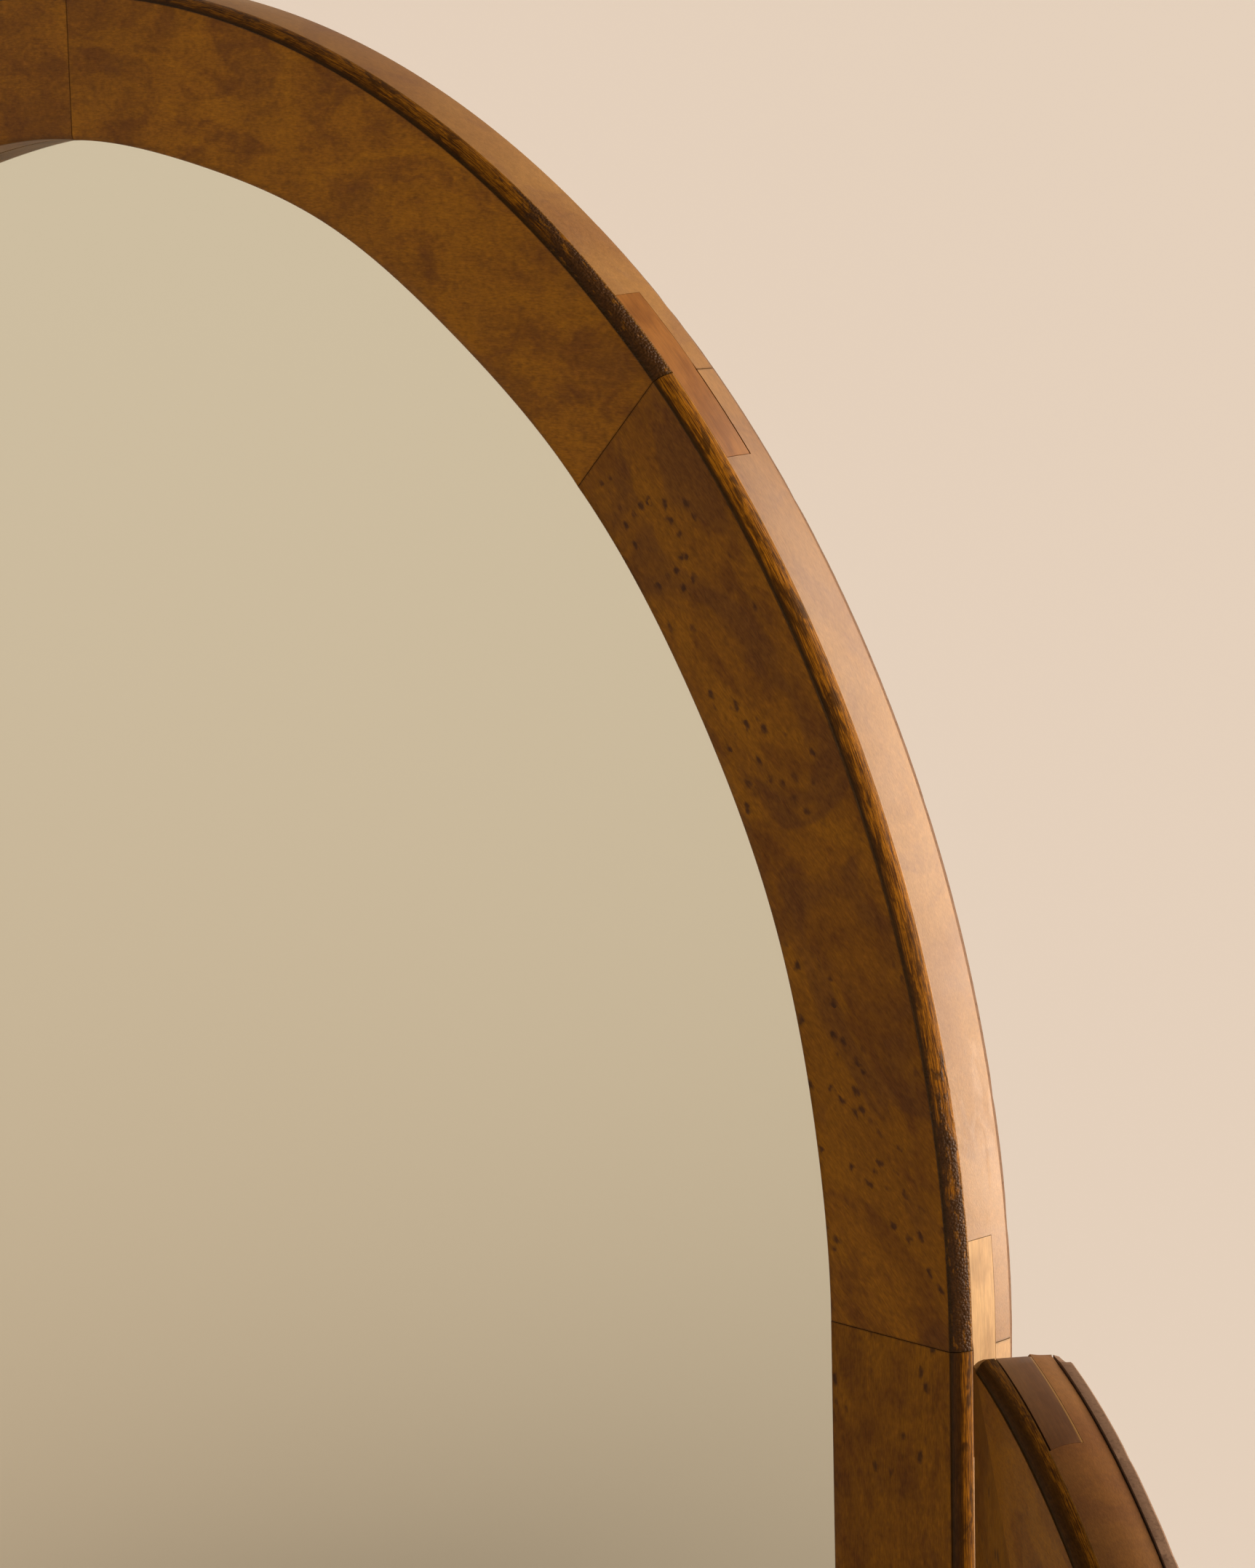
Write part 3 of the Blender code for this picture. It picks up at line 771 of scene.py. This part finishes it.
for word in ("right_wing", "left_wing"):
    part = {name: members[f"{word}_{name}"] for name in
            ("hinge_stile", "arch_high", "arch_low", "free_stile", "bottom_rail")}
    build_key(f"{word}_key_spring", word, (part["free_stile"], 1), (part["arch_low"], 0), key_half)
    build_key(f"{word}_key_haunch", word, (part["arch_low"], 1), (part["arch_high"], 0), key_half)
    build_key(f"{word}_key_peak", word, (part["hinge_stile"], 1), (part["arch_high"], 1),
              corner_leg)
    build_key(f"{word}_key_heel", word, (part["hinge_stile"], 0), (part["bottom_rail"], 0),
              corner_leg)
    build_key(f"{word}_key_toe", word, (part["free_stile"], 0), (part["bottom_rail"], 1),
              corner_leg)


# ------------------------------------------------------------
# The mirror plates.  Old plate glass, silvered on the back, lying in the rebates.
# Its colour is painted darker and yellower toward the bottom, a painted reflection of the room,
# and the plate is not quite flat.

def silvered_glass():
    material, tree, shader = new_material("silvered_glass")
    where = own_place(tree)
    tone = noise(tree, where, (2.2, 2.2, 2.2), 2, 0.5)
    # painted reflection: the colour runs from darker and yellower low down to paler and bluer high
    # up, in blotches
    height = scaled(tree, tone, 0.10, split(tree, where)[2])
    colour = blend_colour(tree, ramp(tree, height, 0.25, 0.90), (0.705, 0.665, 0.535),
                          (0.800, 0.825, 0.720))
    haze = noise(tree, where, (14, 14, 14), 4, 0.6)
    wave = times(tree, noise(tree, where, (5, 5, 5), 1), 0.00025)
    plug(tree, shader, {"Base Color": colour, "Metallic": 1.0, "Normal": relief(tree, wave),
                        "Roughness": scaled(tree, haze, 0.05, 0.02)})
    return material


mirror = silvered_glass()
for name in ("centre_glass", "right_wing_glass", "left_wing_glass"):
    plate = frame["nodes"][name]
    plate.data.materials.clear()
    plate.data.materials.append(mirror)


# ------------------------------------------------------------
# The back boards.  Thin hardboard over the whole back of each frame, sawn to its
# outline and held by small screws.  Its sawn edge is furry and has lost chips.

def hardboard():
    material, tree, shader = new_material("hardboard")
    where = own_place(tree)
    felted = noise(tree, where, (900, 900, 900), 4, 0.65)
    cloud = noise(tree, where, (16, 16, 16), 3, 0.55, 0.4)
    flake = noise(tree, where, (2600, 2600, 2600), 2, 0.5)
    colour = blend_colour(tree, ramp(tree, cloud, 0.3, 0.7), (0.200, 0.112, 0.064),
                          (0.238, 0.138, 0.082))
    colour = blend_colour(tree, times(tree, ramp(tree, felted, 0.48, 0.72), 0.5), colour,
                          (0.085, 0.042, 0.022))
    colour = blend_colour(tree, times(tree, ramp(tree, flake, 0.60, 0.74), 0.35), colour,
                          (0.36, 0.22, 0.13))
    plug(tree, shader, {"Base Color": colour, "Roughness": scaled(tree, felted, 0.25, 0.62),
                        "Normal": relief(tree, times(tree, felted, 0.00010)),
                        "Specular IOR Level": 0.28})
    return material


board_stuff = hardboard()
board_low, board_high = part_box("centre_back_board")
board_thick = board_high.y - board_low.y
board_clear = 0.0003
board_edge = 0.00045
centre_inset, wing_inset = 0.0023, 0.0001
chip_seeds = (3, 5, 8)


def board_outline(word):
    """The sawn outline of a back board in its panel's plane, every 2 mm or so."""
    if word == "centre":
        radius, centre = outer_radius - centre_inset, (0.0, spring_z)
        left, right, foot, last = -radius, radius, foot_z + centre_inset, math.pi
    else:
        radius, centre = outer_radius - wing_inset, (wing_arc_u, wing_spring)
        left, right, foot = wing_edge + wing_inset, wing_arc_u + radius, foot_z
        last = math.acos((left - wing_arc_u) / radius)
    steps = int(last * radius / 0.002)
    arc = [(centre[0] + radius * math.cos(last * i / steps),
            centre[1] + radius * math.sin(last * i / steps)) for i in range(steps + 1)]
    corners = [arc[-1], (left, foot), (right, foot), arc[0]]
    rest = []
    for (u0, z0), (u1, z1) in zip(corners, corners[1:]):
        count = max(2, int(math.dist((u0, z0), (u1, z1)) / 0.004))
        rest += [(u0 + (u1 - u0) * i / count, z0 + (z1 - z0) * i / count)
                 for i in range(1, count + 1)]
    return np.array(arc + rest[:-1])


def outward_from(outline):
    """Unit steps away from the middle of an outline."""
    away = outline - outline.mean(axis=0)
    return away / np.linalg.norm(away, axis=1)[:, None]


def build_board(word, place, seed):
    """A board with a furry, chipped edge; a wing's has lost its corner at the peak."""
    outline = board_outline(word)
    outward = outward_from(outline)
    draw = random.Random(seed)
    chips = np.zeros(len(outline))
    for _ in range(40):
        at, size = draw.randrange(len(outline)), draw.uniform(0.00005, 0.0002)
        for step in range(-2, 3):
            chips[(at + step) % len(outline)] += size * math.exp(-step * step / 1.5)
    fuzz = np.array([draw.uniform(0, 0.00005) for _ in outline])
    if word != "centre":
        from_peak = outline[:, 0] - wing_edge + 10 * (outline[:, 1] < peak_z - 0.02)
        chips += 0.0024 * np.clip(1 - from_peak / 0.008, 0, 1) ** 0.5
    levels = [(0.00003, 0.0, 0.6), (0.0, 0.00008, 0.3), (0.0, board_thick * 0.5, 0.5),
              (0.00003, board_thick - board_edge, 1.0), (board_edge, board_thick, 1.3)]
    rings = []
    for inset, depth, share in levels:
        ring = outline - outward * (inset + fuzz + np.minimum(chips * share, 0.0030))[:, None]
        behind = np.full(len(ring), stock + board_clear + depth)
        rings.append(place(ring[:, 0], behind, ring[:, 1]))
    points = np.concatenate(rings)
    made = mesh_object(f"{word}_back_board_sawn", points,
                       tube_faces(len(levels), len(outline)), board_stuff)
    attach(made, word)
    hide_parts(f"{word}_back_board")


panels = {"centre": centre_place, "right_wing": wing_place(1), "left_wing": wing_place(-1)}
for (panel, place), seed in zip(panels.items(), chip_seeds):
    build_board(panel, place, seed)


# ------------------------------------------------------------
# The hinges.  Four 50 mm brass butt hinges, their leaves screwed flat on the
# edges of the stiles so that the knuckles stand in the gap; the brass is dull.

def dull_metal(name, bright, tarnish, roughness):
    material, tree, shader = new_material(name)
    where = own_place(tree)
    bloom = noise(tree, where, (130, 130, 130), 4, 0.62, 0.5)
    scratch = noise(tree, where, (2600, 2600, 160), 2, 0.5)
    colour = blend_colour(tree, ramp(tree, bloom, 0.34, 0.68), bright, tarnish)
    plug(tree, shader, {"Base Color": colour, "Metallic": 1.0,
                        "Roughness": scaled(tree, bloom, 0.35, roughness),
                        "Normal": relief(tree, times(tree, scratch, 0.000012))})
    return material


def lathe(start, axis, profile, sides=28):
    """Rings for a turned shape; profile gives (distance along the axis, radius)."""
    axis = Vector(axis).normalized()
    across = axis.orthogonal().normalized()
    other = axis.cross(across)
    points = []
    for along, radius in profile:
        for i in range(sides):
            turn = math.tau * i / sides
            points.append(Vector(start) + axis * along
                          + (across * math.cos(turn) + other * math.sin(turn)) * radius)
    return points, tube_faces(len(profile), sides)


def joined(shapes):
    """Several shapes as one list of points and one of faces."""
    points, faces = [], []
    for some_points, some_faces in shapes:
        base = len(points)
        points += some_points
        faces += [tuple(base + i for i in face) for face in some_faces]
    return points, faces


def slotted_head(middle, outward, radius, rise):
    """A screw head with a slot across it: two half discs over a plain one."""
    outward = Vector(outward).normalized()
    along = outward.orthogonal().normalized()
    aside = outward.cross(along)
    slot = radius * 0.15
    shapes = [lathe(Vector(middle) - outward * rise, outward,
                    ((0.0, radius), (rise * 0.9, radius), (rise, radius * 0.97)), 24)]
    span = math.atan2(math.sqrt(radius ** 2 - slot ** 2), slot)
    rim = [(math.cos(span * (1 - i / 8)) * radius, math.sin(span * (1 - i / 8)) * radius)
           for i in range(17)]
    levels = ((0.0, 1.0), (radius * 0.10, 0.97), (radius * 0.17, 0.86))
    for way in (1, -1):
        points = [Vector(middle) + outward * (height + 0.00002)
                  + aside * way * max(x * share, slot) + along * y * share
                  for height, share in levels for x, y in rim]
        shapes.append((points, tube_faces(len(levels), len(rim))))
    return joined(shapes)


brass = dull_metal("aged_brass", (0.52, 0.33, 0.11), (0.24, 0.145, 0.055), 0.26)
leaf_edge, leaf_thick, leaf_clear = 0.00025, 0.0012, 0.00015
leaf_from_knuckle, leaf_reach = 0.0006, 0.0159
knuckles, knuckle_clear, knuckle_chamfer, curl_reach = 5, 0.00015, 0.0003, 0.0009
# each screw's height from the leaf's middle and distance out from the pin
leaf_screws = ((-0.0175, 0.0111), (0.0, 0.0079), (0.0175, 0.0111))
leaf_screw_radius, leaf_screw_rise = 0.0027, 0.0003


def rounded_bar(low, high, edge):
    """A plate with small chamfers: an octagon swept upward, drawn in at both ends."""
    points = []
    for z, inset in ((low[2], edge), (low[2] + edge, 0), (high[2] - edge, 0), (high[2], edge)):
        x0, x1, y0, y1 = low[0] + inset, high[0] - inset, low[1] + inset, high[1] - inset
        points += [Vector(p + (z,)) for p in
                   ((x0 + edge, y0), (x1 - edge, y0), (x1, y0 + edge), (x1, y1 - edge),
                    (x1 - edge, y1), (x0 + edge, y1), (x0, y1 - edge), (x0, y0 + edge))]
    return points, tube_faces(4, 8)


def turned_by(points, centre, angle):
    turn = Matrix.Rotation(angle, 4, "Z")
    return [turn @ p + centre for p in points]


def build_leaf(hinge, side, kind):
    """A leaf drawn from the pin's axis, with its knuckles and the heads of its screws."""
    toward, own_knuckles, angle = (-1, (0, 2, 4), 0.0) if kind == "fixed" else (1, (1, 3), fold)
    low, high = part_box(f"{hinge}_fixed_leaf")
    middle = (low.z + high.z) / 2
    tall = high.z - low.z
    edge = toward * side * (panel_gap / 2 - leaf_clear)
    thin = toward * side * leaf_thick
    radius = pin_y - low.y
    near, far = sorted((edge - thin, edge))
    shapes = [rounded_bar((near, radius + leaf_from_knuckle, -tall / 2),
                          (far, leaf_reach, tall / 2), leaf_edge)]
    pitch = tall / knuckles
    for number in own_knuckles:
        foot = -tall / 2 + pitch * number + knuckle_clear
        head = -tall / 2 + pitch * (number + 1) - knuckle_clear
        shapes.append(lathe((0, 0, 0), (0, 0, 1),
                            ((foot, radius - knuckle_chamfer), (foot + knuckle_chamfer, radius),
                             (head - knuckle_chamfer, radius), (head, radius - knuckle_chamfer))))
        shapes.append(rounded_bar((near, 0.0, foot), (far, radius + curl_reach, head), 0.0001))
    for level, out in leaf_screws:
        shapes.append(slotted_head(Vector((edge - thin, out, level)), (-thin, 0, 0),
                                   leaf_screw_radius, leaf_screw_rise))
    points, faces = joined(shapes)
    points = turned_by(points, Vector((side * pin_x, pin_y, middle)), -side * angle)
    made = mesh_object(f"{hinge}_{kind}_leaf_cut", points, faces, brass)
    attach(made, "centre" if kind == "fixed" else "right_wing" if side > 0 else "left_wing")
    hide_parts(f"{hinge}_{kind}_leaf")


def build_pin(hinge, side):
    """The pin, its ends filed round; it stays with the centre's knuckles."""
    low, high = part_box(f"{hinge}_pin")
    rod = (high.x - low.x) / 2
    tall = high.z - low.z
    points, faces = lathe((side * pin_x, pin_y, low.z), (0, 0, 1),
                          ((0.0, rod * 0.6), (0.0002, rod * 0.95), (0.0004, rod),
                           (tall - 0.0004, rod), (tall - 0.0002, rod * 0.95),
                           (tall, rod * 0.6)), 24)
    pin = mesh_object(f"{hinge}_pin_turned", points, faces, brass)
    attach(pin, "centre")
    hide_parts(f"{hinge}_pin")


for side, word in ((1, "right"), (-1, "left")):
    for hinge in (f"{word}_upper_hinge", f"{word}_lower_hinge"):
        build_leaf(hinge, side, "fixed")
        build_leaf(hinge, side, "wing")
        build_pin(hinge, side)


# ------------------------------------------------------------
# The screws of the back boards.  Small blackened round heads, about a hand's
# width apart all round each board, driven through it into the frame.

black_steel = dull_metal("blackened_steel", (0.09, 0.08, 0.07), (0.035, 0.030, 0.028), 0.34)
screw_inset = 0.015625
screw_pitch = 0.125
screw_radius, screw_rise = 0.0031, 0.0004


def screws_round(word, place):
    """One piece with every screw of a board, set evenly along its outline."""
    outline = board_outline(word)
    ring = outline - outward_from(outline) * screw_inset
    steps = np.linalg.norm(np.roll(ring, -1, axis=0) - ring, axis=1)
    run = np.concatenate([[0.0], np.cumsum(steps)])
    count = round(run[-1] / screw_pitch)
    board_back = stock + board_clear + board_thick
    backward = Vector(place(0.0, 1.0, 0.3) - place(0.0, 0.0, 0.3))
    shapes = []
    for number in range(count):
        at = np.searchsorted(run, run[-1] * (number + 0.5) / count) - 1
        spot = place(ring[at, 0], board_back, ring[at, 1])
        shapes.append(slotted_head(spot, backward, screw_radius, screw_rise))
    points, faces = joined(shapes)
    made = mesh_object(f"{word}_board_screws", points, faces, black_steel)
    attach(made, word)


for panel, place in panels.items():
    screws_round(panel, place)


# ------------------------------------------------------------
# The felt.  A strip of dark green felt glued under each bottom rail, cut with
# scissors: its edges are soft and not quite straight.

def green_felt():
    material, tree, shader = new_material("green_felt")
    where = own_place(tree)
    wool = noise(tree, where, (1500, 1500, 1500), 4, 0.7)
    colour = blend_colour(tree, ramp(tree, wool, 0.35, 0.65), (0.022, 0.030, 0.018),
                          (0.060, 0.072, 0.045))
    plug(tree, shader, {"Base Color": colour, "Roughness": 0.95, "Sheen Weight": 0.5,
                        "Normal": relief(tree, times(tree, wool, 0.0003))})
    return material


felt_cloth = green_felt()
felt_half, felt_short, felt_thick = 0.0070, 0.0120, 0.0020


def felt_strip(word, start, end, seed):
    draw = random.Random(seed)
    count = int((end - start) / 0.005)
    inner, soft = felt_half - 0.0004, 0.0003
    across = ((-felt_half, soft), (-inner, 0.0), (inner, 0.0), (felt_half, soft),
              (felt_half, felt_thick - soft), (inner, felt_thick), (-inner, felt_thick),
              (-felt_half, felt_thick - soft))
    points = []
    for i in range(count + 1):
        u = start + (end - start) * i / count
        stray = draw.uniform(-0.00015, 0.00015)
        points += [tuple(panels[word](u, stock / 2 + y + stray, z)) for y, z in across]
    made = mesh_object(f"{word}_felt_cut", points, tube_faces(count + 1, len(across)), felt_cloth)
    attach(made, word)
    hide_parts(f"{word}_felt_strip")


felt_strip("centre", felt_short - outer_radius, outer_radius - felt_short, 4)
felt_strip("right_wing", wing_edge + felt_short, wing_free - felt_short, 10)
felt_strip("left_wing", wing_edge + felt_short, wing_free - felt_short, 8)


# ------------------------------------------------------------
# The floor: a plain sweep of pale matt card under the felt, run out far enough
# for its far edge to be lost.

def pale_floor():
    material, tree, shader = new_material("pale_floor")
    plug(tree, shader, {"Base Color": (0.86, 0.80, 0.74, 1), "Roughness": 0.9})
    return material


floor_reach = 60.0
floor_points = [(x * floor_reach, y * floor_reach, 0)
                for x, y in ((-1, -1), (1, -1), (1, 1), (-1, 1))]
floor = mesh_object("floor", floor_points, [(0, 1, 2, 3)], pale_floor())


# ------------------------------------------------------------
# Light and camera.  A warm dome, paler low down; a broad low lamp kept to the floor;
# and a softbox to the right that lights the mirror and not the floor.

world = bpy.data.worlds.new("studio")
bpy.context.scene.world = world
world.use_nodes = True
sky = world.node_tree
upward = split(sky, add_node(sky, "ShaderNodeTexCoord").outputs["Generated"])[2]
dome = blend_colour(sky, ramp(sky, upward, 0.02, 0.60), (0.86, 0.70, 0.55),
                    (0.14, 0.125, 0.115))
plug(sky, sky.nodes["Background"], {"Color": dome, "Strength": 1.0})


def add_lamp(data, location, toward, floor_state):
    """A lamp shining back along toward, kept to the floor (INCLUDE) or off it (EXCLUDE)."""
    lamp = bpy.data.objects.new(data.name, data)
    lamp.location = location
    lamp.rotation_mode = "QUATERNION"
    lamp.rotation_quaternion = toward.to_track_quat("Z", "Y")
    lamp.visible_camera = False
    bpy.context.collection.objects.link(lamp)
    group = bpy.data.collections.new(lamp.name + "_floor")
    group.objects.link(floor)
    group.collection_objects[0].light_linking.link_state = floor_state
    lamp.light_linking.receiver_collection = group


def from_angle(azimuth, elevation):
    turn, lift = math.radians(azimuth), math.radians(elevation)
    return Vector((math.cos(turn) * math.cos(lift), math.sin(turn) * math.cos(lift),
                   math.sin(lift)))


overhead = bpy.data.lights.new("floor_light", "SUN")
overhead.angle = math.radians(50)
overhead.energy = 5.3
overhead.color = (1.0, 0.87, 0.74)
add_lamp(overhead, (0, 0, 5), from_angle(46, 24), "INCLUDE")

softbox = bpy.data.lights.new("right_softbox", "AREA")
softbox.shape = "RECTANGLE"
softbox.size, softbox.size_y = 1.3, 2.3
softbox.energy = 72
softbox.color = (1.0, 0.86, 0.71)
softbox_middle = Vector((0.30, 0.0, 0.50))
softbox_way = from_angle(52, 17)
add_lamp(softbox, softbox_middle + softbox_way * 1.7, softbox_way, "EXCLUDE")

arch_centre = Vector((0.0, face_y, spring_z))
stand = arch_centre + Vector((1.0615, -0.8127, 0.3403))
camera_data = bpy.data.cameras.new("camera")
camera_data.lens = 110.3
camera = bpy.data.objects.new("camera", camera_data)
turn, tilt, roll = math.radians(46.21), math.radians(-10.38), math.radians(-1.38)
camera.matrix_world = (Matrix.Translation(stand) @ Matrix.Rotation(turn, 4, "Z")
                       @ Matrix.Rotation(math.pi / 2 + tilt, 4, "X")
                       @ Matrix.Rotation(roll, 4, "Z"))
bpy.context.collection.objects.link(camera)
bpy.context.scene.camera = camera
bpy.context.scene.view_settings.view_transform = "Standard"
